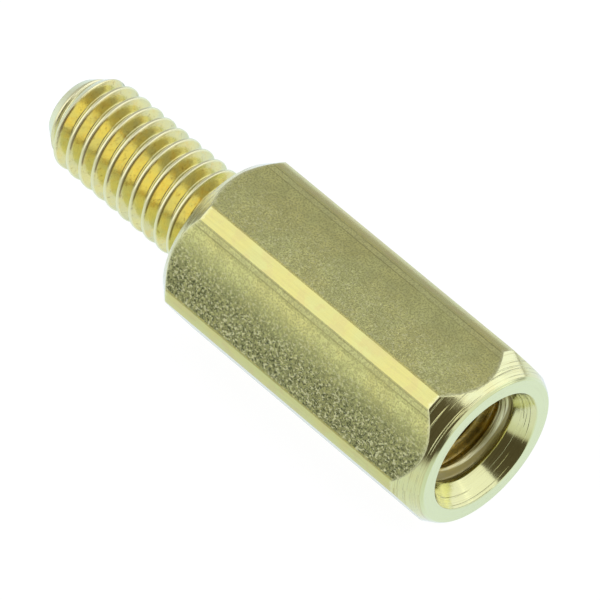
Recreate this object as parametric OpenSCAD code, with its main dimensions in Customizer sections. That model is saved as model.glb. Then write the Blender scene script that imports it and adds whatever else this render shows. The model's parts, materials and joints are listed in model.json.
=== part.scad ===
// Male-female hex standoff, M3 x 0.5.
//
// One piece turned from hexagon bar. It lies on one flat of the hexagon, with its axis along X:
// the stud points to -X, the tapped hole opens to +X, and the origin is on the axis, in the
// shoulder plane that the stud seats against. All lengths are in millimetres.
//
// The stud's thread is cut in full. The hole is drilled at its thread's minor diameter, and its
// fine thread is left out.

/* [Hexagon body] */
// Size of the hexagon, measured across its flats
across_flats = 4.9; // [4.6:0.05:5.5]
// Width of the turned land on each long edge
corner_land = 0.44; // [0.1:0.02:0.6]
// Length of the body, from the shoulder to the socket's end face
body_length = 10; // [9:1:30]

/* [Turned ends] */
// Diameter that the shoulder is faced to, where its chamfer starts
shoulder_d = 4.64; // [4.2:0.01:4.85]
// Angle of the shoulder's chamfer, measured from the axis
shoulder_chamfer = 38; // [30:1:60]
// Diameter of the turned rim at the socket's end
rim_d = 4.69; // [4.2:0.01:4.85]
// Angle of the chamfer behind that rim, measured from the axis
rim_chamfer = 28; // [20:1:45]
// Width of the broken edge around the end face
edge_break = 0.07; // [0.02:0.01:0.15]

/* [Threaded stud] */
// Major diameter of the thread
stud_d = 2.88; // [2.87:0.01:2.98]
// Pitch of the thread
pitch = 0.5; // [0.45:0.05:0.6]
// Width of the flat on the thread's crest
crest_flat = 0.085; // [0.05:0.005:0.1]
// Width of the flat at the thread's root
root_flat = 0.045; // [0.03:0.005:0.1]
// Length of the stud, from the shoulder to its tip
stud_length = 6.05; // [4:0.05:12]
// Length of the plain shank between the shoulder and the thread's run-out
shank_length = 0.2; // [0.1:0.05:0.6]
// Diameter of the tip's end face
tip_d = 1.92; // [1.5:0.02:2.4]
// Length of the taper between the tip and the full thread
tip_taper = 0.7; // [0.3:0.05:1]

/* [Tapped hole] */
// Minor diameter of the hole's thread
hole_d = 2.5; // [2.46:0.01:2.6]
// Depth of the drilled wall below the end face
hole_depth = 7.4; // [4:0.1:7.4]
// Diameter of the countersink at its mouth
sink_d = 3.74; // [3.1:0.01:4]
// Included angle of the countersink
sink_angle = 60; // [60:5:120]
// Included angle of the drill's point
drill_point = 118; // [90:1:140]

/* [Hidden] */
$fn = 120;
FLATS = 6;
flat_r = across_flats / 2;
// half the width of a flat: each land cuts 1 / sqrt(3) of its own width off that half
flat_half_width = (flat_r - corner_land) / sqrt(3);
corner_r = norm([flat_r, flat_half_width]);
// how far the cutters run past the end face, and the stud is rooted in the body
CLEAR = 1;
rim_r = rim_d / 2;
tip_r = tip_d / 2;
tip_slope = (stud_d - tip_d) / 2 / tip_taper;
shoulder_r = shoulder_d / 2;
sink_depth = (sink_d - hole_d) / 2 / tan(sink_angle / 2);
sink_slope = tan(sink_angle / 2);
point_depth = hole_d / 2 / tan(drill_point / 2);

// the stud's thread: sides of the grid around the axis, and where a crest crosses local +Y
SIDES = 36;
CREST_AT = -0.055;
crest_r = stud_d / 2;
root_r = crest_r - (pitch - crest_flat - root_flat) / 2 / tan(30);
// the shank is a little larger than the crests and the run-out's cone starts below the roots, so
// that their surfaces cross cleanly
shank_r = crest_r + 0.01;
run_out_r = root_r - 0.03;
// one turn of the thread, as places along the axis and radii: both ends of a crest and of a root
THREAD = [
    [-crest_flat / 2, crest_r],
    [crest_flat / 2, crest_r],
    [(pitch - root_flat) / 2, root_r],
    [(pitch + root_flat) / 2, root_r]
];
// where the grid's first crest crosses local +Y, below the tip, and how many turns reach the body
first_crest = CREST_AT - pitch * ceil((stud_length + CREST_AT) / pitch + 1);
turns = ceil(-first_crest / pitch);

// Hexagon bar with sharp edges and a flat facing each way along X.
module hexagon_bar() {
    linear_extrude(body_length)
        rotate(180 / FLATS)
            circle(r = flat_r / cos(180 / FLATS), $fn = FLATS);
}

// What the lathe leaves: lands on the hexagon's edges, and a cone at each end.
module turned_blank() {
    rim_back = body_length - edge_break;
    rotate_extrude()
        polygon([
            [0, 0],
            [shoulder_r, 0],
            [corner_r, (corner_r - shoulder_r) / tan(shoulder_chamfer)],
            [corner_r, rim_back - (corner_r - rim_r) / tan(rim_chamfer)],
            [rim_r, rim_back],
            [rim_r - edge_break, body_length],
            [0, body_length]
        ]);
}

module body() {
    intersection() {
        hexagon_bar();
        turned_blank();
    }
}

// A point of the grid. Its lines follow the right-hand thread, and its sides go around the axis.
// The taper at the tip holds the radius down, to half the tip's radius where the rod is cut off.
function grid_point(line, side) =
    let (corner = THREAD[line % len(THREAD)],
         z = first_crest + pitch * (floor(line / len(THREAD)) + side / SIDES) + corner.x,
         taper = max(tip_r + (z + stud_length) * tip_slope, tip_r / 2),
         r = min(corner.y, taper),
         angle = 90 + 360 * side / SIDES)
    [r * cos(angle), r * sin(angle), z];

// Number of that point. After a full turn, a line goes on as the same line of the next turn.
function grid_index(line, side) =
    side < SIDES ? line * SIDES + side : grid_index(line + len(THREAD), side - SIDES);

// Rod with the stud's thread and taper, from below the tip to inside the body. The grid's first
// and last turns are closed by a fan of triangles around a point on the axis.
module threaded_rod() {
    last = turns * len(THREAD);
    points = concat(
        [for (line = [0 : last + len(THREAD)], side = [0 : SIDES - 1]) grid_point(line, side)],
        [for (turn = [0, turns]) [0, 0, first_crest + pitch * (turn + 0.5)]]
    );
    low_centre = len(points) - 2;
    high_centre = len(points) - 1;
    // a loop goes once around the axis on one line, and back along the axis at local +Y
    loop = [
        for (side = [0 : SIDES]) [0, side],
        for (line = [len(THREAD) - 1 : -1 : 1]) [line, 0]
    ];
    low_loop = [for (step = loop) grid_index(step.x, step.y)];
    high_loop = [for (step = loop) grid_index(last + step.x, step.y)];
    polyhedron(points, [
        for (line = [0 : last - 1], side = [0 : SIDES - 1]) each [
            [grid_index(line, side), grid_index(line + 1, side), grid_index(line + 1, side + 1)],
            [grid_index(line, side), grid_index(line + 1, side + 1), grid_index(line, side + 1)]
        ],
        for (i = [0 : len(loop) - 1])
            let (next = (i + 1) % len(loop))
            each [
                [low_centre, low_loop[i], low_loop[next]],
                [high_centre, high_loop[next], high_loop[i]]
            ]
    ]);
}

// Stud with its thread faced off at the tip, a cone where the thread runs out, and the shank,
// which is rooted inside the body.
module stud() {
    intersection() {
        threaded_rod();
        translate([0, 0, -stud_length])
            cylinder(r = shoulder_r, h = stud_length + CLEAR);
    }
    rotate_extrude()
        polygon([
            [0, -shank_length - (shank_r - run_out_r)],
            [run_out_r, -shank_length - (shank_r - run_out_r)],
            [shank_r, -shank_length],
            [shank_r, CLEAR],
            [0, CLEAR]
        ]);
}

// Blind hole at its minor diameter, with the drill's point below it and the countersink above.
module hole_cutter() {
    floor_z = body_length - hole_depth;
    translate([0, 0, floor_z])
        cylinder(d = hole_d, h = hole_depth + CLEAR);
    translate([0, 0, floor_z - point_depth])
        cylinder(d1 = 0, d2 = hole_d, h = point_depth);
    translate([0, 0, body_length - sink_depth])
        cylinder(d1 = hole_d, d2 = sink_d + 2 * CLEAR * sink_slope, h = sink_depth + CLEAR);
}

module hex_standoff() {
    color("#b5ab66")
        rotate([0, 90, 0])
            difference() {
                union() {
                    body();
                    stud();
                }
                hole_cutter();
            }
}

hex_standoff();
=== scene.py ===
"""Looks of a male-female hex standoff in brass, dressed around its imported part.

The whole standoff is one closed skin. It is worked out on a grid: the columns go around the axis,
and the rows go from the stud's tip, over the body, into the tapped hole and down to the drill's point.
Lengths are in millimetres until the mesh is made, and MM turns them into Blender's metres.
Angles around the axis are right-handed about +X and start at +Y.
"""
import json
import math

import bmesh
import bpy
import numpy as np
from mathutils import Matrix, Vector


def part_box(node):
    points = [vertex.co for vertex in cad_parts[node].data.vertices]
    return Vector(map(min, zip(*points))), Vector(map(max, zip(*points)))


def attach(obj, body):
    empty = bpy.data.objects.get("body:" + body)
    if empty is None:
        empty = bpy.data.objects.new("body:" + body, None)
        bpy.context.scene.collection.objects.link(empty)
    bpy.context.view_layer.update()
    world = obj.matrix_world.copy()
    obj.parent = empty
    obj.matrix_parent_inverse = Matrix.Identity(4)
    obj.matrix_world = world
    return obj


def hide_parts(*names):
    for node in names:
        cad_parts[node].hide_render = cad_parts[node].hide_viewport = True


MM = 0.001

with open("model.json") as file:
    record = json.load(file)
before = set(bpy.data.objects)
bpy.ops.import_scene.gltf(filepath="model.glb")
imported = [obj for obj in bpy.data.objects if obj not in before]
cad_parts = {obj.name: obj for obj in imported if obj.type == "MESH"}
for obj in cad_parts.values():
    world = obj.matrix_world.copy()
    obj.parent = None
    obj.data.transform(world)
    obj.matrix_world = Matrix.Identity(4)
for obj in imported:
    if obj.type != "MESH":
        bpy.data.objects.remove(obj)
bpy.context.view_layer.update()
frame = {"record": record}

# ---------------------------------------------------------------- sizes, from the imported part

LOW, HIGH = (np.array(corner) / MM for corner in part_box("hex_standoff"))
MOUNTS = {mount["name"]: mount for mount in frame["record"]["mounts"]}

STUD_TIP = LOW[0]
END_FACE = HIGH[0]
FLAT_R = HIGH[2]
CORNER_R = HIGH[1]

SHANK_R = MOUNTS["stud"]["dims"]["r_mm"]
SHANK_LENGTH = MOUNTS["stud"]["dims"]["length_mm"]
HOLE_R = MOUNTS["tapped_hole"]["dims"]["r_mm"]
HOLE_MIDDLE = MOUNTS["tapped_hole"]["pos_m"][0] / MM
HOLE_HALF = MOUNTS["tapped_hole"]["dims"]["length_mm"] / 2
SINK_BOTTOM = HOLE_MIDDLE + HOLE_HALF
WALL_END = HOLE_MIDDLE - HOLE_HALF

# ---------------------------------------------------------------- sizes of the turned details

# the chamfers at the shoulder and at the socket: radius of the small end, and rise for each length
SHOULDER_R = 2.32
SHOULDER_SLOPE = math.tan(math.radians(38))
RIM_R = 2.345
RIM_SLOPE = math.tan(math.radians(28))
EDGE_BREAK = 0.07

# the stud's crests, and the cone at its tip
STUD_R = 1.44
TIP_R = 0.96
TIP_LENGTH = 0.7
TIP_SLOPE = (STUD_R - TIP_R) / TIP_LENGTH

# the countersink, 60 degrees in all, and the drill's point, 118 degrees
SINK_SLOPE = math.tan(math.radians(30))
MOUTH_R = HOLE_R + (END_FACE - SINK_BOTTOM) * SINK_SLOPE
DRILL_SLOPE = math.tan(math.radians(59))

# both threads: the flanks stand 60 degrees from the axis
PITCH = 0.5
FLANK = math.tan(math.radians(60))

# the stud's thread, and where a crest crosses the +Y side, from the shoulder
STUD_ROOT_R = 1.12
STUD_CREST_FLAT = 0.075
STUD_CREST_AT = -0.055

# the hole's thread, and where a groove crosses the +Y side, from the end face
TAP_ROOT_R = 1.53
TAP_SHARP_R = 1.63
TAP_GROOVE_AT = -0.1223

# the hole's plain end, under its thread, and the length over which the thread comes to full depth
TAP_PLAIN = 0.9
TAP_FADE = 0.5

# how much the small edges are rounded: turned ones, those between the bar and its chamfers, the
# stud's crests, the end of its run-out and the roots of the hole's thread
TURNED_EDGE = 0.02
BAR_EDGE = 0.03
CREST_EDGE = 0.03
RUN_OUT_EDGE = 0.05
TAP_ROOT_EDGE = 0.05

# the narrow strip beside each land: from the flat's middle to its two lines
STRIP_START = 1.10
STRIP_END = 0.93

# points closer than this are made one
SAME_POINT = 1e-4

# ---------------------------------------------------------------- the grid's columns and profiles

# a turned land takes each long edge off the hexagon, this far around the axis each way, and the
# columns on each side of its border are this far apart
LAND_HALF = math.pi / 6 - math.acos(FLAT_R / CORNER_R)
BORDER = 0.004


def column_angles():
    """Angles of the columns: each of the six lands has 8 and each flat between them 16. A pair on
    each border keeps the border crisp."""
    land = np.linspace(-LAND_HALF, LAND_HALF, 6)
    land = np.insert(land, (1, 5), (-LAND_HALF + BORDER, LAND_HALF - BORDER))
    flat = np.linspace(LAND_HALF + BORDER, math.pi / 3 - LAND_HALF - BORDER, 16)
    side = np.concatenate([land, flat])
    turns = np.arange(6)[:, None] * math.pi / 3
    return (turns + side[None, :]).ravel()


ANGLE = column_angles()
COLUMNS = len(ANGLE)

# how far around the axis each column is from the nearest long edge, and which columns are on a land
OFF_EDGE = np.abs((ANGLE + math.pi / 6) % (math.pi / 3) - math.pi / 6)
BURNISH = (OFF_EDGE < LAND_HALF + BORDER / 2).astype(float)

# the bar's radius in each column: the flat's radius / cos(angle from the flat's middle), up to the lands
HEX = np.minimum(FLAT_R / np.cos(math.pi / 6 - OFF_EDGE), CORNER_R)

# how far each column is from the middle of its flat, along the flat, on the side of the larger angles
FLAT_HALF = FLAT_R * math.tan(math.pi / 6 - LAND_HALF)
ACROSS = FLAT_R * np.tan(ANGLE % (math.pi / 3) - math.pi / 6)
ACROSS = np.clip(ACROSS, -FLAT_HALF, FLAT_HALF)

# how much each flat is pitted and darkened by painted shade, from the one after the +Y side round to the one
# before it
PITS_AND_SHADE_FLATS = np.array([0.4, 0.16, 1.0, 0.5, 0.7, 0.3])

# across a flat the pits and the painted shade begin at the first of these places and are all there at the
# second, both from its middle, and at the shoulder they are this share of what they are at the end face
PITS_AND_SHADE_BEGIN = -0.82
PITS_AND_SHADE_FULL = 0.85
PITS_AND_SHADE_AT_SHOULDER = 0.8


def smooth(value, low, high):
    """A smooth step: 3 t^2 - 2 t^3, with t going from 0 at low to 1 at high."""
    t = np.clip((value - low) / (high - low), 0, 1)
    return t * t * (3 - 2 * t)


def pits_and_shade_share(x):
    """How pitted the bar is, and how much painted shade darkens it towards one edge of each flat: the
    flat's share x a smooth step across the flat x a straight rise from the shoulder to the end face, and 0 on
    the lands."""
    flat = PITS_AND_SHADE_FLATS[(ANGLE // (math.pi / 3)).astype(int)]
    along = PITS_AND_SHADE_AT_SHOULDER + (1 - PITS_AND_SHADE_AT_SHOULDER) * np.clip(x / END_FACE, 0, 1)
    return (1 - BURNISH) * flat * smooth(ACROSS, PITS_AND_SHADE_BEGIN, PITS_AND_SHADE_FULL) * along


def soft_min(a, b, blend):
    """The lower of a and b, rounded over a height of blend where they meet."""
    h = np.clip(blend - np.abs(a - b), 0, None) / blend
    return np.minimum(a, b) - h * h * blend / 4


def soft_max(a, b, blend):
    """The higher of a and b, rounded over a height of blend where they meet."""
    return -soft_min(-a, -b, blend)


def off_turn(x, angle, at):
    """Distance along the axis from x to the nearest turn of a right-hand helix that crosses the +Y
    side at the given place: x - at - pitch * angle / full turn, folded to half a pitch each way."""
    along = x - at - PITCH * angle / (2 * math.pi)
    return np.abs((along + PITCH / 2) % PITCH - PITCH / 2)


def tip_taper(x):
    """Radius of the cone at the stud's tip."""
    return TIP_R + (x - STUD_TIP) * TIP_SLOPE


def sink_radius(x):
    """Radius of the countersink's cone."""
    return MOUTH_R - (END_FACE - x) * SINK_SLOPE


def stud_radius(x, angle):
    """Stud's thread: a ridge with a flat crest and a sharp root, under the tip's taper. The ridge is
    the crest's radius - tan(60) x (distance off the turn - half the crest). It runs out on a 45
    degree cone, which leads to the plain shank at the shoulder."""
    off = off_turn(x, angle, STUD_CREST_AT)
    ridge = STUD_R - FLANK * (off - STUD_CREST_FLAT / 2)
    thread = soft_min(soft_max(ridge, STUD_ROOT_R, CREST_EDGE), STUD_R, CREST_EDGE)
    run_out = soft_min(SHANK_R + SHANK_LENGTH + x, SHANK_R, RUN_OUT_EDGE)
    return soft_min(soft_max(thread, run_out, CREST_EDGE), tip_taper(x), TURNED_EDGE)


def stud_depth(x, r):
    """How deep the stud's skin lies in the thread: 0 on the crests and the taper, 1 at the roots."""
    return np.clip((np.minimum(STUD_R, tip_taper(x)) - r) / (STUD_R - STUD_ROOT_R), 0, 1)


def tap_depth(x, r):
    """How deep the hole's skin lies in its grooves: 0 on the wall and the countersink, 1 at the roots."""
    wall = np.maximum(HOLE_R, sink_radius(x))
    return np.clip((r - wall) / (TAP_ROOT_R - HOLE_R), 0, 1)


def tap_radius(x, angle):
    """Hole's thread: a groove with a round root, cut in the countersink and the drilled wall. The
    groove is a sharp radius - tan(60) x distance off the turn. It runs out before the drill's point."""
    off = off_turn(x, angle, END_FACE + TAP_GROOVE_AT)
    fade = np.clip((x - WALL_END - TAP_PLAIN) / TAP_FADE, 0, 1)
    root = HOLE_R + (TAP_ROOT_R - HOLE_R) * fade
    groove = soft_min(TAP_SHARP_R - FLANK * off, root, TAP_ROOT_EDGE)
    wall = soft_max(np.full_like(x, HOLE_R), sink_radius(x), TURNED_EDGE)
    return soft_max(wall, groove, TURNED_EDGE)


# ---------------------------------------------------------------- the grid's rows


def per_column(value):
    """One number for each column, from a single number or from an array of them."""
    return np.broadcast_to(np.asarray(value, float), COLUMNS).copy()


def unit_step(a, b):
    """Unit vector from a to b in the plane of the section, column by column."""
    dx = per_column(b[0] - a[0])
    dr = per_column(b[1] - a[1])
    length = np.hypot(dx, dr)
    return dx / length, dr / length


def mirrored(phases):
    """Phases of one turn, from those on one side of the turn's line."""
    half = np.array(phases)
    return np.concatenate([half, 1 - half[half > 0][::-1]])


class Skin:
    """Rows of the grid, from the stud's tip to the drill's point. Each row is a ring, or one line of
    a helix, whose last column then meets a later row's first column."""

    def __init__(self):
        self.x = []
        self.r = []
        self.meets = []
        self.finish = []
        self.groove = []
        self.wear = []

    def ring(self, x, r, finish, groove=0.0, wear=0.0):
        """A row at x and at r from the axis, with the finish of the faces that follow it."""
        self.meets.append(len(self.x))
        self.x.append(per_column(x))
        self.r.append(per_column(r))
        self.groove.append(per_column(groove))
        self.wear.append(per_column(wear))
        self.finish.append(finish)

    def between(self, start, end, shares, finish):
        """Rings on the straight line from one (x, r) to another, at those shares of the way."""
        for share in shares:
            x = start[0] + (end[0] - start[0]) * share
            r = start[1] + (end[1] - start[1]) * share
            self.ring(x, r, finish)

    def corner(self, before, at, after, size, finish_in, finish_out):
        """A rounded corner: rings on the quadratic curve that leaves the line from before at size from
        the corner, and joins the line to after at size from it, each column by itself. A ring a little
        further off on each side keeps the faces beside it flat. Wear is most in the corner's middle."""
        into = unit_step(before, at)
        away = unit_step(at, after)
        start = (at[0] - into[0] * size, at[1] - into[1] * size)
        end = (at[0] + away[0] * size, at[1] + away[1] * size)
        off = size * 1.8
        self.ring(at[0] - into[0] * off, at[1] - into[1] * off, finish_in, wear=0.5)
        for share in (0.0, 0.25, 0.5, 0.75, 1.0):
            a, b, c = (1 - share) ** 2, 2 * share * (1 - share), share**2
            x = a * start[0] + b * at[0] + c * end[0]
            r = a * start[1] + b * at[1] + c * end[1]
            worn = 0.5 + 2 * share * (1 - share)
            self.ring(x, r, finish_in if share < 0.5 else finish_out, wear=worn)
        self.ring(at[0] + away[0] * off, at[1] + away[1] * off, finish_out, wear=0.5)

    def helix(self, start, end, turn_at, phases, radius, depth, finish):
        """Lines that follow a thread from one x to another, with one line for each phase of a turn.
        A turn crosses the +Y side at turn_at. The first line lies before the start at every angle and
        the last past the end, and all are held between them, so that both ends are plain rings."""
        way = 1 if end > start else -1
        before = turn_at + way * PITCH * math.floor((start - turn_at) * way / PITCH)
        if way > 0:
            before -= PITCH
        turns = math.ceil(abs(end - before) / PITCH) + 1
        count = turns * len(phases)
        steps = np.arange(count)
        along = (steps // len(phases) + phases[steps % len(phases)]) * PITCH
        first = len(self.x)
        for step in steps:
            line = before + way * along[step] + PITCH * ANGLE / (2 * math.pi)
            x = np.clip(line, min(start, end), max(start, end))
            r = radius(x, ANGLE)
            self.ring(x, r, finish, groove=depth(x, r))
            self.meets[-1] = first + min(max(step + way * len(phases), 0), count - 1)


# the finishes, in the order of the mesh's material slots
DRAWN, TURNED, THREADED, TAPPED = range(4)

# phases of a turn, from a crest or a groove to half-way to the next, close together round its corners
STUD_PHASES = mirrored([0.0, 0.03, 0.048, 0.061, 0.075, 0.088, 0.102, 0.16, 0.28, 0.40, 0.435, 0.46, 0.485])
TAP_PHASES = mirrored([0.0, 0.05, 0.10, 0.20, 0.30, 0.38, 0.45])

# a narrow ring on the shoulder keeps its corner with the shank crisp, and below this depth the rows of
# the countersink follow the hole's thread
SHANK_BORDER = 0.05
SINK_PLAIN = 0.4


def standoff_skin():
    """All rows of the standoff, from the stud's tip to the drill's point."""
    skin = Skin()
    for share in (0.0, 0.15, 0.4, 0.7, 0.93):
        skin.ring(STUD_TIP, TIP_R * share, TURNED)

    skin.helix(STUD_TIP, 0.0, STUD_CREST_AT, STUD_PHASES, stud_radius, stud_depth, THREADED)

    shoulder_in = (0.0, SHANK_R + SHANK_BORDER)
    shoulder_rim = (0.0, SHOULDER_R)
    shoulder_edge = ((HEX - SHOULDER_R) / SHOULDER_SLOPE, HEX)
    rim_back = END_FACE - EDGE_BREAK
    socket_edge = (rim_back - (HEX - RIM_R) / RIM_SLOPE, HEX)
    socket_rim = (rim_back, RIM_R)
    face_out = (END_FACE, RIM_R - EDGE_BREAK)
    mouth = (END_FACE, MOUTH_R)
    sink_low = (END_FACE - SINK_PLAIN, sink_radius(END_FACE - SINK_PLAIN))

    skin.ring(*shoulder_in, TURNED)
    skin.between(shoulder_in, shoulder_rim, (0.35, 0.7), TURNED)
    skin.corner(shoulder_in, shoulder_rim, shoulder_edge, TURNED_EDGE, TURNED, TURNED)
    skin.between(shoulder_rim, shoulder_edge, (0.5,), TURNED)
    skin.corner(shoulder_rim, shoulder_edge, socket_edge, BAR_EDGE, TURNED, DRAWN)
    skin.between(shoulder_edge, socket_edge, np.linspace(0.03, 0.97, 24), DRAWN)
    skin.corner(shoulder_edge, socket_edge, socket_rim, BAR_EDGE, DRAWN, TURNED)
    skin.between(socket_edge, socket_rim, np.linspace(0.35, 0.75, 4), TURNED)
    skin.corner(socket_edge, socket_rim, face_out, TURNED_EDGE, TURNED, TURNED)
    skin.corner(socket_rim, face_out, mouth, TURNED_EDGE, TURNED, TURNED)
    skin.between(face_out, mouth, (0.3, 0.5, 0.7), TURNED)
    skin.corner(face_out, mouth, sink_low, TURNED_EDGE, TURNED, TURNED)
    skin.between(mouth, sink_low, (0.5,), TURNED)

    groove_at = END_FACE + TAP_GROOVE_AT
    skin.helix(sink_low[0], WALL_END, groove_at, TAP_PHASES, tap_radius, tap_depth, TAPPED)
    drill_tip = WALL_END - HOLE_R / DRILL_SLOPE
    skin.between((WALL_END, HOLE_R), (drill_tip, 0.0), (0.02, 0.3, 0.6, 0.85, 1.0), TAPPED)
    return skin


def skin_mesh(skin):
    """The skin as one closed mesh: y = r cos(angle) and z = r sin(angle). Each quad joins two columns
    and two rows, and the last column joins the rows that its lines meet."""
    x, r = np.array(skin.x), np.array(skin.r)
    rows = len(x)
    place = np.stack([x, r * np.cos(ANGLE), r * np.sin(ANGLE)], axis=-1) * MM
    index = np.arange(rows * COLUMNS).reshape(rows, COLUMNS)
    wrap = index[np.array(skin.meets), 0]
    after = np.concatenate([index[:, 1:], wrap[:, None]], axis=1)
    quads = np.stack([index[:-1], index[1:], after[1:], after[:-1]], axis=-1).reshape(-1, 4)

    mesh = bpy.data.meshes.new("standoff_skin")
    mesh.from_pydata(place.reshape(-1, 3), [], quads)
    finish = np.repeat(np.array(skin.finish[:-1]), COLUMNS)
    mesh.polygons.foreach_set("material_index", finish.astype(np.int32))
    layers = {
        "groove": skin.groove,
        "wear": skin.wear,
        "burnish": np.tile(BURNISH, (rows, 1)),
        "across": np.tile(ACROSS, (rows, 1)),
        # the pits, together with painted shade towards one edge of each flat
        "pitted": pits_and_shade_share(x),
    }
    for name, values in layers.items():
        layer = mesh.attributes.new(name, "FLOAT", "POINT")
        layer.data.foreach_set("value", np.array(values, np.float32).ravel())

    built = bmesh.new()
    built.from_mesh(mesh)
    bmesh.ops.remove_doubles(built, verts=built.verts, dist=SAME_POINT * MM)
    bmesh.ops.recalc_face_normals(built, faces=built.faces)
    built.to_mesh(mesh)
    built.free()
    mesh.shade_smooth()
    return mesh


# ---------------------------------------------------------------- helpers for objects and shader nodes


def add_object(name, data):
    """A new object in the scene, from a mesh, a camera or a lamp."""
    made = bpy.data.objects.new(name, data)
    bpy.context.scene.collection.objects.link(made)
    return made


def empty_tree(owner):
    """The shader tree of a material or a world, with nothing in it."""
    owner.use_nodes = True
    owner.node_tree.nodes.clear()
    return owner.node_tree


def put(tree, value, socket):
    """Links an output to a socket, or sets the socket's constant."""
    if isinstance(value, bpy.types.NodeSocket):
        tree.links.new(value, socket)
    else:
        socket.default_value = value


def node(tree, kind, values=None, **settings):
    """A new shader node, with its settings and the values or links of its input sockets."""
    made = tree.nodes.new(kind)
    for name, value in settings.items():
        setattr(made, name, value)
    for name, value in (values or {}).items():
        put(tree, value, made.inputs[name])
    return made


def maths(tree, operation, a, b=0.0, c=0.0, clamp=False):
    """The result of a Math node on two or three numbers or links."""
    return node(tree, "ShaderNodeMath", {0: a, 1: b, 2: c}, operation=operation, use_clamp=clamp).outputs[0]


def ramp(tree, value, low, high, out_low=0.0, out_high=1.0):
    """A smooth step: out_low below low, out_high above high."""
    made = node(
        tree,
        "ShaderNodeMapRange",
        {"Value": value, "From Min": low, "From Max": high, "To Min": out_low, "To Max": out_high},
        interpolation_type="SMOOTHSTEP",
    )
    return made.outputs["Result"]


def mix(tree, share, a, b):
    """Colour b over colour a, by share."""
    return node(tree, "ShaderNodeMix", data_type="RGBA", values={0: share, 6: a, 7: b}).outputs[2]


def colour(red, green, blue):
    """A colour in linear light."""
    return (red, green, blue, 1.0)


def effect(name, inputs, outputs):
    """A new node group with named number inputs and their defaults, and named number outputs."""
    tree = bpy.data.node_groups.new(name, "ShaderNodeTree")
    for label, default in inputs.items():
        socket = tree.interface.new_socket(label, in_out="INPUT", socket_type="NodeSocketFloat")
        socket.default_value = default
    for label in outputs:
        tree.interface.new_socket(label, in_out="OUTPUT", socket_type="NodeSocketFloat")
    entry = tree.nodes.new("NodeGroupInput")
    leave = tree.nodes.new("NodeGroupOutput")
    return tree, entry.outputs, leave.inputs


def use(tree, group, values=None):
    """Places an effect in a material and returns its outputs."""
    return node(tree, "ShaderNodeGroup", values, node_tree=group).outputs


def millimetres(tree, scale=(1.0, 1.0, 1.0), turn=(0.0, 0.0, 0.0), offset=(0.0, 0.0, 0.0)):
    """Place on the part in millimetres, stretched, turned and moved for a pattern."""
    place = node(tree, "ShaderNodeTexCoord").outputs["Object"]
    scale = [share / MM for share in scale]
    values = {"Vector": place, "Scale": scale, "Rotation": turn, "Location": offset}
    return node(tree, "ShaderNodeMapping", values).outputs["Vector"]


def noise(tree, place, scale, detail=2.0, roughness=0.5, distortion=0.0):
    """Smooth noise around one half, with about scale changes for each unit of the place."""
    made = node(
        tree,
        "ShaderNodeTexNoise",
        {"Vector": place, "Scale": scale, "Detail": detail, "Roughness": roughness, "Distortion": distortion},
    )
    return made.outputs["Fac"]


def attribute(tree, name):
    """A number that skin_mesh() keeps on the mesh."""
    return node(tree, "ShaderNodeAttribute", attribute_name=name).outputs["Fac"]


def product(tree, a, b):
    """a x b."""
    return maths(tree, "MULTIPLY", a, b)


def total(tree, a, b):
    """a + b."""
    return maths(tree, "ADD", a, b)


# ---------------------------------------------------------------- effects on the brass


def xyz(tree):
    """Place on the part in millimetres, as its three numbers."""
    return node(tree, "ShaderNodeSeparateXYZ", {"Vector": millimetres(tree)}).outputs


def around_axis(tree, parts):
    """Angle of a place around the part's axis, from the +Y side."""
    return maths(tree, "ARCTAN2", parts["Z"], parts["Y"])


def unwind(tree, parts):
    """Where the helix through a place crosses the +Y side: x - pitch x angle / full turn."""
    return maths(tree, "MULTIPLY_ADD", around_axis(tree, parts), -PITCH / (2 * math.pi), parts["X"])


def from_axis(tree, parts):
    """Distance of a place from the part's axis: the square root of y^2 + z^2."""
    squares = total(tree, product(tree, parts["Y"], parts["Y"]), product(tree, parts["Z"], parts["Z"]))
    return maths(tree, "SQRT", squares)


def turning_marks():
    """Fine circular lines left by the lathe tool. Lines is their height, and Scratch picks out the
    few that are deep. The pattern's place is (x, distance from the axis, angle), so the lines are as
    close on any turned face, and fade in and out slowly as they go around."""
    tree, given, made = effect("turning_marks", {"Lines per mm": 20.0}, ("Lines", "Scratch"))
    parts = xyz(tree)
    angle = product(tree, around_axis(tree, parts), 0.05)
    values = {"X": parts["X"], "Y": from_axis(tree, parts), "Z": angle}
    place = node(tree, "ShaderNodeCombineXYZ", values).outputs[0]
    fine = noise(tree, place, given["Lines per mm"], detail=3.0, roughness=0.7)
    coarse = noise(tree, place, product(tree, given["Lines per mm"], 0.6), detail=1.0)
    put(tree, fine, made["Lines"])
    put(tree, ramp(tree, coarse, 0.57, 0.63), made["Scratch"])
    return tree


def drawn_lines():
    """Long fine lines along the bar, left by the drawing die."""
    tree, given, made = effect("drawn_lines", {"Lines per mm": 12.0}, ("Lines",))
    place = millimetres(tree, scale=(0.06, 1.0, 1.0))
    put(tree, noise(tree, place, given["Lines per mm"], detail=3.0, roughness=0.6), made["Lines"])
    return tree


def pitting():
    """Small blotches and pits of a dulled surface. Blotches is their height, Grain a finer grain, and
    the third output picks out the few points between them that get a painted glint."""
    outputs = ("Blotches", "Grain", "Flecks")
    tree, given, made = effect("pitting", {"Blotches per mm": 8.0}, outputs)
    place = millimetres(tree)
    aside = millimetres(tree, scale=(0.7, 1.0, 1.0), offset=(3.0, 5.0, 7.0))
    blotches = noise(tree, place, given["Blotches per mm"], detail=4.0, roughness=0.75, distortion=0.4)
    grain = noise(tree, place, product(tree, given["Blotches per mm"], 1.6), detail=2.0)
    glints = noise(tree, aside, product(tree, given["Blotches per mm"], 1.3), detail=2.0, roughness=0.6)
    put(tree, blotches, made["Blotches"])
    put(tree, grain, made["Grain"])
    put(tree, ramp(tree, glints, 0.55, 0.62), made["Flecks"])
    return tree


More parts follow.
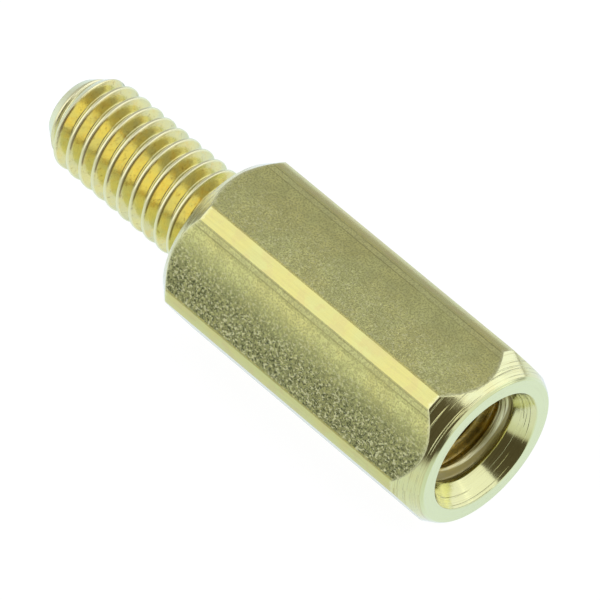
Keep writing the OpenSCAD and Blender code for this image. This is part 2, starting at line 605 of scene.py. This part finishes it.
def cloudiness():
    """Slow changes of tone over the metal."""
    tree, given, made = effect("cloudiness", {"Clouds per mm": 0.7}, ("Clouds",))
    clouds = noise(tree, millimetres(tree), given["Clouds per mm"], detail=4.0, roughness=0.6)
    put(tree, clouds, made["Clouds"])
    return tree


def scuffs():
    """A few thin crooked scratches, up to a millimetre long, that run aslant along the bar."""
    tree, given, made = effect("scuffs", {"Share": 0.1}, ("Scuffs",))
    aslant = millimetres(tree, scale=(1.6, 9.0, 9.0), turn=(0.5, 0.3, 0.45))
    level = maths(tree, "SUBTRACT", 0.82, given["Share"])
    streaks = noise(tree, aslant, 1.0, detail=3.0, roughness=0.55, distortion=0.6)
    put(tree, ramp(tree, maths(tree, "SUBTRACT", streaks, level), 0.0, 0.05), made["Scuffs"])
    return tree


EFFECTS = {make.__name__: make() for make in (turning_marks, drawn_lines, pitting, cloudiness, scuffs)}

# ---------------------------------------------------------------- tones of the brass

# the flats: olive metal, smudges, pits darkened further by painted shade, the fine specks and the painted
# glints between them, and scuffs
OLIVE_WARM = colour(0.80, 0.77, 0.28)
OLIVE_GREEN = colour(0.79, 0.80, 0.31)
SMUDGED = colour(0.42, 0.42, 0.16)
# the next tone is the dark of the pits, and also painted shade
PIT_AND_SHADE_DARK = colour(0.11, 0.125, 0.03)
SPECK = colour(0.46, 0.45, 0.17)
# the next tone is a painted glint
GLINT = colour(0.98, 0.96, 0.55)
SCUFFED = colour(0.92, 0.92, 0.60)
WORN_EDGE = colour(0.86, 0.86, 0.48)

# the lands, and what lies beside them: the strip, the die's two lines and the gilt edge
LAND_WARM = colour(0.735, 0.685, 0.23)
LAND_GREEN = colour(0.705, 0.70, 0.265)
LAND_SMUDGED = colour(0.70, 0.61, 0.24)
LAND_LINE = colour(0.58, 0.55, 0.20)
STRIP_PALE = colour(1.0, 1.0, 0.60)
DIE_LINE = colour(0.35, 0.33, 0.12)
GILT = colour(0.90, 0.80, 0.22)

# the turned faces, and the dirt in their marks
TURNED_WARM = colour(0.81, 0.78, 0.37)
TURNED_GREEN = colour(0.81, 0.82, 0.43)
SINK_TONE = colour(0.735, 0.725, 0.34)
FACE_TONE = colour(0.76, 0.82, 0.44)
MARK_DIRT = colour(0.40, 0.34, 0.13)

# the stud: its crests, pale from wear and partly from a painted highlight, the tint it takes at a glancing
# angle, the gold of its grooves, their stains and dirt, and the dark line of painted shade beside the crests
# the next tone is partly wear and partly a painted highlight
CREST_WEAR_AND_HIGHLIGHT = colour(0.98, 0.94, 0.57)
CREST_GLANCE = colour(0.68, 0.85, 0.84)
GOLD_WARM = colour(0.89, 0.79, 0.30)
GOLD_PALE = colour(0.80, 0.745, 0.35)
GOLD_STAIN = colour(0.88, 0.68, 0.20)
GOLD_DIRT = colour(0.45, 0.34, 0.10)
# the next tone is painted shade
PAINTED_SHADE = colour(0.18, 0.11, 0.03)

# the hole: torn metal between the first grooves, whose paleness is partly a painted highlight, the grooves,
# and the brown metal inside
# the next tone is torn metal, and partly a painted highlight
TORN_AND_LIT = colour(0.90, 0.89, 0.54)
TORN_LINE = colour(0.22, 0.19, 0.08)
GROOVE_OLIVE = colour(0.30, 0.25, 0.06)
BROWN_DARK = colour(0.42, 0.33, 0.08)
BROWN_GOLD = colour(0.72, 0.52, 0.10)

# the angle around the axis where the painted shade beside the stud's crests is strongest
PAINTED_SHADE_AT = math.radians(140)

# how far from the stud's tip its golden tone begins and is full, and how far under the end face the
# hole's brown tone begins and is full
GOLD_FROM = 0.40
GOLD_FULL = 0.75
BROWN_FROM = 0.85
BROWN_FULL = 1.15

# ---------------------------------------------------------------- the four brass finishes


def brass(name):
    """A material with a plain metal shader under a thin clear film, which lets the room show paler
    near the outline, with its tree and the shader's sockets."""
    material = bpy.data.materials.new(name)
    tree = empty_tree(material)
    film = {"Coat Weight": 1.0, "Coat Roughness": 0.15, "Coat IOR": 1.5}
    shader = node(tree, "ShaderNodeBsdfPrincipled", {"Metallic": 1.0, "IOR": 1.5, **film})
    out = tree.nodes.new("ShaderNodeOutputMaterial")
    tree.links.new(shader.outputs[0], out.inputs[0])
    return material, tree, shader.inputs


def relief(tree, height):
    """A normal from a height in millimetres."""
    return node(tree, "ShaderNodeBump", {"Height": height, "Strength": 1.0, "Distance": MM}).outputs[0]


def dulled_and_shaded_tone(tree, pits, clouds, smudges, pitted, spread):
    """Tone of the flats: olive brass with smudges, darkened where it is pitted and by painted shade
    towards one edge of each flat, with fine specks and a few painted glints, which are stronger among the
    pits and the shade."""
    tone = mix(tree, ramp(tree, clouds, 0.38, 0.60), OLIVE_WARM, OLIVE_GREEN)
    tone = mix(tree, ramp(tree, smudges, 0.42, 0.58, 0.0, 0.26), tone, SMUDGED)
    shade = product(tree, ramp(tree, pits["Blotches"], 0.46, 0.54, 1.0, 0.0), 1.30)
    # painted shade: the pits' dark tone, spread over the flats and strongest towards one edge of each
    dulled_and_shaded = maths(tree, "MULTIPLY", total(tree, shade, 0.20), pitted, clamp=True)
    tone = mix(tree, dulled_and_shaded, tone, PIT_AND_SHADE_DARK)
    specks = ramp(tree, pits["Grain"], 0.40, 0.56, 1.0, 0.0)
    specks = product(tree, specks, maths(tree, "MULTIPLY_ADD", spread, 0.2, 0.68))
    tone = mix(tree, specks, tone, SPECK)
    # painted glints: bright points, strongest among the pits and the shade
    glints = product(tree, pits["Flecks"], maths(tree, "MULTIPLY_ADD", spread, 0.95, 0.06))
    return mix(tree, glints, tone, GLINT)


def beside_land(tree, tone, across, lines):
    """The flats' tone with what the die left beside each land: on one side a slightly paler strip
    between two dark, broken lines, and on the other a gilt edge."""
    strip = ramp(tree, across, -STRIP_END - 0.02, -STRIP_END, 0.10, 0.0)
    tone = mix(tree, strip, tone, STRIP_PALE)
    broken = ramp(tree, lines, 0.35, 0.60, 0.30, 0.65)
    for place in (STRIP_START, STRIP_END):
        off = maths(tree, "ABSOLUTE", total(tree, across, place))
        line = product(tree, ramp(tree, off, 0.008, 0.026, 1.0, 0.0), broken)
        tone = mix(tree, line, tone, DIE_LINE)
    gilt = ramp(tree, across, FLAT_HALF - 0.07, FLAT_HALF - 0.02, 0.0, 0.7)
    return mix(tree, gilt, tone, GILT)


def land_tone(tree, clouds, smudges, lines):
    """Tone of the burnished lands: golden brass with warm smudges and faint drawing lines."""
    tone = mix(tree, ramp(tree, clouds, 0.40, 0.60), LAND_WARM, LAND_GREEN)
    tone = mix(tree, ramp(tree, smudges, 0.48, 0.60, 0.0, 0.6), tone, LAND_SMUDGED)
    return mix(tree, ramp(tree, lines, 0.30, 0.62, 0.30, 0.0), tone, LAND_LINE)


def drawn_brass():
    """The bar's flats and lands: olive brass with drawing lines and a fine grain, dulled by pits and by
    painted shade towards one edge of each flat, with painted glints. The lands are burnished, with nicks
    along their borders, and the small edges are worn pale."""
    material, tree, shader = brass("drawn_brass")
    burnish = attribute(tree, "burnish")
    # how pitted each place is, together with painted shade towards one edge of each flat
    pitted = attribute(tree, "pitted")
    across = attribute(tree, "across")
    lines = use(tree, EFFECTS["drawn_lines"])["Lines"]
    pits = use(tree, EFFECTS["pitting"], {"Blotches per mm": 12.0})
    clouds = use(tree, EFFECTS["cloudiness"])["Clouds"]
    smudges = use(tree, EFFECTS["cloudiness"], {"Clouds per mm": 2.2})["Clouds"]
    scuff = product(tree, use(tree, EFFECTS["scuffs"], {"Share": 0.12})["Scuffs"], pitted)
    spread = maths(tree, "POWER", pitted, 0.6)

    tone = dulled_and_shaded_tone(tree, pits, clouds, smudges, pitted, spread)
    tone = beside_land(tree, tone, across, lines)
    border = maths(tree, "SUBTRACT", FLAT_HALF, maths(tree, "ABSOLUTE", across))
    nicks = ramp(tree, maths(tree, "MULTIPLY_ADD", pits["Grain"], -0.3, border), -0.14, -0.12, 0.8, 0.0)
    on_land = maths(tree, "MAXIMUM", burnish, nicks)
    tone = mix(tree, on_land, tone, land_tone(tree, clouds, smudges, lines))
    worn = maths(tree, "MULTIPLY_ADD", pits["Blotches"], 0.8, attribute(tree, "wear"))
    tone = mix(tree, ramp(tree, worn, 0.75, 1.10), tone, WORN_EDGE)
    put(tree, mix(tree, product(tree, scuff, 0.5), tone, SCUFFED), shader["Base Color"])

    rough = maths(tree, "MULTIPLY_ADD", pits["Grain"], 0.12, 0.24)
    put(tree, maths(tree, "MULTIPLY_ADD", burnish, -0.12, rough), shader["Roughness"])
    fine = maths(tree, "MULTIPLY_ADD", pits["Grain"], 0.002, product(tree, lines, 0.0015))
    deep = maths(tree, "MULTIPLY_ADD", pits["Blotches"], product(tree, spread, 0.11), fine)
    put(tree, relief(tree, maths(tree, "MULTIPLY_ADD", scuff, 0.004, deep)), shader["Normal"])
    return material


def turned_brass():
    """Chamfers, rims, the end face and the countersink: bright pale brass with turning marks. The end
    face is the palest and the smoothest, and the countersink has shallower marks than the chamfers."""
    material, tree, shader = brass("turned_brass")
    marks = use(tree, EFFECTS["turning_marks"])
    clouds = use(tree, EFFECTS["cloudiness"])["Clouds"]
    parts = xyz(tree)
    rim = END_FACE - EDGE_BREAK
    sunk = ramp(tree, from_axis(tree, parts), MOUTH_R - 0.03, MOUTH_R, 1.0, 0.0)
    at_face = ramp(tree, parts["X"], rim - 0.01, rim + 0.01)
    face = product(tree, at_face, maths(tree, "SUBTRACT", 1.0, sunk))
    plain = maths(tree, "MAXIMUM", product(tree, face, 0.85), product(tree, sunk, 0.6))
    marked = maths(tree, "SUBTRACT", 1.0, plain)

    tone = mix(tree, ramp(tree, clouds, 0.38, 0.60), TURNED_WARM, TURNED_GREEN)
    tone = mix(tree, product(tree, sunk, 0.85), tone, SINK_TONE)
    tone = mix(tree, face, tone, FACE_TONE)
    dirt = product(tree, ramp(tree, marks["Lines"], 0.36, 0.48, 0.45, 0.0), marked)
    put(tree, mix(tree, dirt, tone, MARK_DIRT), shader["Base Color"])

    put(tree, maths(tree, "MULTIPLY_ADD", marks["Lines"], 0.08, 0.10), shader["Roughness"])
    height = maths(tree, "MULTIPLY_ADD", marks["Scratch"], 0.018, product(tree, marks["Lines"], 0.007))
    put(tree, relief(tree, product(tree, height, marked)), shader["Normal"])
    return material


def crest_painted_shade(tree, parts, stains):
    """A thin dark line of painted shade on the socket side of each crest, strongest at the angle set
    above and broken up by the stains. It rises and falls with the distance past the middle of the crest."""
    from_crest = maths(tree, "SUBTRACT", unwind(tree, parts), STUD_CREST_AT)
    past = maths(tree, "FLOORED_MODULO", from_crest, PITCH)
    line = product(tree, ramp(tree, past, 0.038, 0.052), ramp(tree, past, 0.062, 0.085, 1.0, 0.0))
    off = maths(tree, "ABSOLUTE", maths(tree, "SUBTRACT", around_axis(tree, parts), PAINTED_SHADE_AT))
    near = ramp(tree, maths(tree, "MULTIPLY_ADD", stains, -1.2, off), -0.3, 0.1, 1.0, 0.0)
    return product(tree, product(tree, line, near), 0.85)


def threaded_brass():
    """The stud: pale crests and tip, worn and with a painted highlight, over golden grooves with stains
    and a little dirt, and a dark line of painted shade beside the crests."""
    material, tree, shader = brass("threaded_brass")
    groove = attribute(tree, "groove")
    pits = use(tree, EFFECTS["pitting"], {"Blotches per mm": 6.0})
    stains = use(tree, EFFECTS["pitting"], {"Blotches per mm": 2.5})["Blotches"]
    clouds = use(tree, EFFECTS["cloudiness"], {"Clouds per mm": 1.6})["Clouds"]
    parts = xyz(tree)
    off_tip = ramp(tree, parts["X"], STUD_TIP + GOLD_FROM, STUD_TIP + GOLD_FULL)
    golden = product(tree, ramp(tree, groove, 0.02, 0.16), off_tip)

    gold = mix(tree, ramp(tree, clouds, 0.40, 0.62), GOLD_WARM, GOLD_PALE)
    gold = mix(tree, ramp(tree, stains, 0.52, 0.64, 0.0, 0.6), gold, GOLD_STAIN)
    gold = mix(tree, ramp(tree, pits["Blotches"], 0.56, 0.68, 0.0, 0.6), gold, GOLD_DIRT)
    # the crests and the tip take a pale tone that is partly wear and partly a painted highlight
    tone = mix(tree, golden, CREST_WEAR_AND_HIGHLIGHT, gold)
    # painted shade: a dark line beside the crests
    painted_shade = product(tree, crest_painted_shade(tree, parts, stains), off_tip)
    put(tree, mix(tree, painted_shade, tone, PAINTED_SHADE), shader["Base Color"])

    put(tree, CREST_GLANCE, shader["Specular Tint"])
    put(tree, ramp(tree, golden, 0.0, 1.0, 0.36, 0.22), shader["Roughness"])
    put(tree, relief(tree, product(tree, pits["Grain"], 0.004)), shader["Normal"])
    return material


def tapped_brass():
    """The tapped hole: the countersink's turned finish up to the first groove that it shows, then
    torn pale metal, pale partly from a painted highlight of the light at the mouth, with olive grooves, and
    dull brown metal inside."""
    material, tree, shader = brass("tapped_brass")
    groove = attribute(tree, "groove")
    marks = use(tree, EFFECTS["turning_marks"])
    stains = use(tree, EFFECTS["pitting"], {"Blotches per mm": 3.0})["Blotches"]
    parts = xyz(tree)
    unwound = unwind(tree, parts)
    first = END_FACE + TAP_GROOVE_AT - PITCH
    # torn metal near the mouth, whose pale tone is partly a painted highlight
    torn_and_lit = ramp(tree, unwound, first, first + 0.05, 1.0, 0.0)
    past = ramp(tree, unwound, first - 0.10, first + 0.15, 1.0, 0.0)
    deep = product(tree, ramp(tree, groove, 0.01, 0.08), past)
    inside = ramp(tree, parts["X"], END_FACE - BROWN_FULL, END_FACE - BROWN_FROM, 1.0, 0.0)

    tone = mix(tree, torn_and_lit, SINK_TONE, TORN_AND_LIT)
    dirt = product(tree, ramp(tree, marks["Lines"], 0.36, 0.50, 1.0, 0.0), maths(tree, "MAXIMUM", torn_and_lit, 0.2))
    tone = mix(tree, dirt, tone, MARK_DIRT)
    off_line = maths(tree, "ABSOLUTE", maths(tree, "SUBTRACT", unwound, first - PITCH / 2))
    tone = mix(tree, ramp(tree, off_line, 0.008, 0.025, 0.9, 0.0), tone, TORN_LINE)
    tone = mix(tree, deep, tone, GROOVE_OLIVE)
    brown = mix(tree, ramp(tree, stains, 0.40, 0.60), BROWN_DARK, BROWN_GOLD)
    put(tree, mix(tree, inside, tone, brown), shader["Base Color"])

    rough = maths(tree, "MULTIPLY_ADD", maths(tree, "MAXIMUM", torn_and_lit, deep), 0.32, 0.10)
    put(tree, maths(tree, "MULTIPLY_ADD", marks["Lines"], 0.08, rough), shader["Roughness"])
    depth = maths(tree, "MULTIPLY_ADD", torn_and_lit, 0.008, 0.003)
    put(tree, relief(tree, product(tree, marks["Lines"], depth)), shader["Normal"])
    return material


def build_standoff():
    """The standoff's skin with its four finishes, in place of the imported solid."""
    mesh = skin_mesh(standoff_skin())
    for finish in (drawn_brass, turned_brass, threaded_brass, tapped_brass):
        mesh.materials.append(finish())
    piece = add_object("standoff_skin", mesh)
    even = piece.modifiers.new("even_shading", "WEIGHTED_NORMAL")
    even.keep_sharp = True
    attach(piece, "root")
    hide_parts("hex_standoff")


# ---------------------------------------------------------------- camera, floor and light

# where the camera stands around the part and how far it is rolled, in degrees, how far off it is and
# what it looks at, in millimetres, and its lens, in millimetres on a 36 mm sensor
CAMERA_AZIMUTH, CAMERA_ELEVATION, CAMERA_ROLL = 43.91, 48.82, 3.91
CAMERA_DISTANCE = 205.58
CAMERA_TARGET = (2.741, 0.139, -0.362)
CAMERA_LENS = 463.4

# half the table's side, in metres, and its tones: the colour that takes the shadow, the glow that the
# camera sees over it and the glow that lights the part
TABLE_HALF = 1.0
TABLE_MATT = colour(0.16, 0.16, 0.16)
TABLE_SEEN = colour(0.93, 0.93, 0.94)
TABLE_GLOW = colour(0.48, 0.48, 0.48)

# the pool of light that the table shows in reflections: its middle and where it fades, in millimetres,
# and between which places across the table its colour turns from the front one to the one behind
POOL_MIDDLE = (-8.0, 12.0)
POOL_IN = 20.0
POOL_OUT = 75.0
POOL_FRONT_IN = -5.0
POOL_FRONT_OUT = -1.0
POOL_BEHIND = colour(0.75, 0.82, 0.92)
# the front colour is darker and warmer: a painted shadow and golden bounce of the part on the table
POOL_FRONT = colour(0.65, 0.71, 0.69)
POOL_FAR = colour(0.31, 0.30, 0.25)

# the room's level around the table, the tint of the lamp behind the part, and the dark card's tone
ROOM_LEVEL = 0.45
COOL_WHITE = (0.95, 1.0, 1.18)
CARD_TONE = colour(0.12, 0.10, 0.06)

# where the lamps and the card stand: how far off, in metres, and the directions from the part
LAMP_DISTANCE = 0.5
CARD_DISTANCE = 0.42
SIDE = (-0.52, -0.60, 0.61)
BEHIND = (0.33, 0.71, 0.61)
BEYOND_SOCKET = (0.88, 0.32, 0.36)
BY_CAMERA = (0.60, -0.72, 0.43)
UP = (0.0, 0.0, 1.0)


def towards(azimuth, elevation):
    """Unit vector from the part towards a place at that azimuth and elevation, in degrees. Azimuth 0
    is the -Y side, and 90 is the +X side."""
    a, e = math.radians(azimuth), math.radians(elevation)
    return Vector((math.sin(a) * math.cos(e), -math.cos(a) * math.cos(e), math.sin(e)))


def place_camera():
    """A long lens that looks down on the part from the socket's side, rolled a few degrees."""
    data = bpy.data.cameras.new("camera")
    data.sensor_width = 36.0
    data.lens = CAMERA_LENS
    data.clip_start = 0.01
    data.clip_end = 10.0
    camera = add_object("camera", data)
    back = towards(CAMERA_AZIMUTH, CAMERA_ELEVATION)
    roll = Matrix.Rotation(math.radians(CAMERA_ROLL), 3, "Z")
    turned = back.to_track_quat("Z", "Y").to_matrix() @ roll
    place = Vector(CAMERA_TARGET) * MM + back * (CAMERA_DISTANCE * MM)
    camera.matrix_world = Matrix.Translation(place) @ turned.to_4x4()
    bpy.context.scene.camera = camera


def table_tint(tree, z):
    """Colour of the table's glow, which depends on what looks at it: the camera sees it white, the
    part's reflections see the pool, and the rest of the light gets a plain grey."""
    path = node(tree, "ShaderNodeLightPath").outputs
    place = node(tree, "ShaderNodeTexCoord").outputs["Object"]
    middle = (POOL_MIDDLE[0] * MM, POOL_MIDDLE[1] * MM, z)
    away = node(tree, "ShaderNodeVectorMath", {0: place, 1: middle}, operation="DISTANCE").outputs["Value"]
    across = node(tree, "ShaderNodeSeparateXYZ", {"Vector": place}).outputs["Y"]
    behind = ramp(tree, across, POOL_FRONT_IN * MM, POOL_FRONT_OUT * MM)
    # painted shadow and bounce of the part on the table's front side
    near = mix(tree, behind, POOL_FRONT, POOL_BEHIND)
    pool = mix(tree, ramp(tree, away, POOL_IN * MM, POOL_OUT * MM), near, POOL_FAR)
    unseen = mix(tree, path["Is Glossy Ray"], TABLE_GLOW, pool)
    seen = maths(tree, "MAXIMUM", path["Is Camera Ray"], path["Is Transmission Ray"])
    return mix(tree, seen, unseen, TABLE_SEEN)


def lay_floor():
    """A white table top under the part. It shows as white, and keeps the part's soft shadow. In
    reflections it is a pool of light around the part, faintly blue, which fades into the room."""
    z = LOW[2] * MM
    mesh = bpy.data.meshes.new("floor")
    corners = [(-1, -1), (1, -1), (1, 1), (-1, 1)]
    mesh.from_pydata([(a * TABLE_HALF, b * TABLE_HALF, z) for a, b in corners], [], [(0, 1, 2, 3)])
    floor = add_object("floor", mesh)
    material = bpy.data.materials.new("white_table")
    tree = empty_tree(material)
    matt = node(tree, "ShaderNodeBsdfDiffuse", {"Color": TABLE_MATT}).outputs[0]
    glow = node(tree, "ShaderNodeEmission", {"Color": table_tint(tree, z), "Strength": 1.0}).outputs[0]
    both = node(tree, "ShaderNodeAddShader", {0: matt, 1: glow}).outputs[0]
    out = tree.nodes.new("ShaderNodeOutputMaterial")
    tree.links.new(both, out.inputs[0])
    mesh.materials.append(material)


def light_room():
    """A plain grey room around the table, white where the camera looks straight at it."""
    world = bpy.data.worlds.new("room")
    tree = empty_tree(world)
    path = node(tree, "ShaderNodeLightPath").outputs
    level = ramp(tree, path["Is Camera Ray"], 0.0, 1.0, ROOM_LEVEL, 1.0)
    back = node(tree, "ShaderNodeBackground", {"Color": colour(1, 1, 1), "Strength": level}).outputs[0]
    out = tree.nodes.new("ShaderNodeOutputWorld")
    tree.links.new(back, out.inputs[0])
    bpy.context.scene.world = world


def facing_part(direction, along, distance):
    """A frame at that direction from the part, and that distance in metres: its Z axis points away
    from the part, and its Y axis lies along the given direction as nearly as it can."""
    out = Vector(direction).normalized()
    side = Vector(along).cross(out).normalized()
    spin = Matrix((side, out.cross(side), out)).transposed()
    return Matrix.Translation(out * distance) @ spin.to_4x4()


def softbox(name, direction, along, width, height, level, tint=(1.0, 1.0, 1.0)):
    """An oblong lamp that faces the part, with its height along the given direction. Its level is the
    brightness that a mirror would show, over what is behind it."""
    data = bpy.data.lights.new(name, "AREA")
    data.shape = "RECTANGLE"
    data.size = width
    data.size_y = height
    data.energy = level * math.pi * width * height
    data.color = tint
    lamp = add_object(name, data)
    lamp.matrix_world = facing_part(direction, along, LAMP_DISTANCE)
    lamp.visible_camera = False


def flag(name, direction, along, width, height):
    """A dark card that faces the part, with its height along the given direction. It keeps light off
    the part, and shows dark in its reflections."""
    frame_of_card = facing_part(direction, along, CARD_DISTANCE)
    corners = [(-0.5, -0.5), (0.5, -0.5), (0.5, 0.5), (-0.5, 0.5)]
    places = [frame_of_card @ Vector((a * width, b * height, 0)) for a, b in corners]
    mesh = bpy.data.meshes.new(name)
    mesh.from_pydata(places, [], [(0, 3, 2, 1)])
    card = add_object(name, mesh)
    material = bpy.data.materials.new(name)
    material.use_nodes = True
    shader = material.node_tree.nodes["Principled BSDF"].inputs
    shader["Base Color"].default_value = CARD_TONE
    shader["Roughness"].default_value = 1.0
    mesh.materials.append(material)
    card.visible_camera = False


def light_stage():
    """A long softbox on the stud's side, from the table to above the part, one from the table behind
    the part to above it, a small one beyond the socket, and a dark card around the camera."""
    back_tilt = (-0.3, 0.95, -0.62)
    softbox("side_softbox", SIDE, (0.0, 0.8, 0.8), width=0.48, height=0.70, level=0.70)
    softbox("back_softbox", BEHIND, back_tilt, width=0.42, height=1.20, level=0.67, tint=COOL_WHITE)
    softbox("end_softbox", BEYOND_SOCKET, UP, width=0.80, height=0.38, level=0.40)
    flag("camera_flag", BY_CAMERA, UP, width=0.44, height=0.74)


place_camera()
lay_floor()
light_room()
light_stage()
build_standoff()
bpy.context.scene.view_settings.view_transform = "Standard"
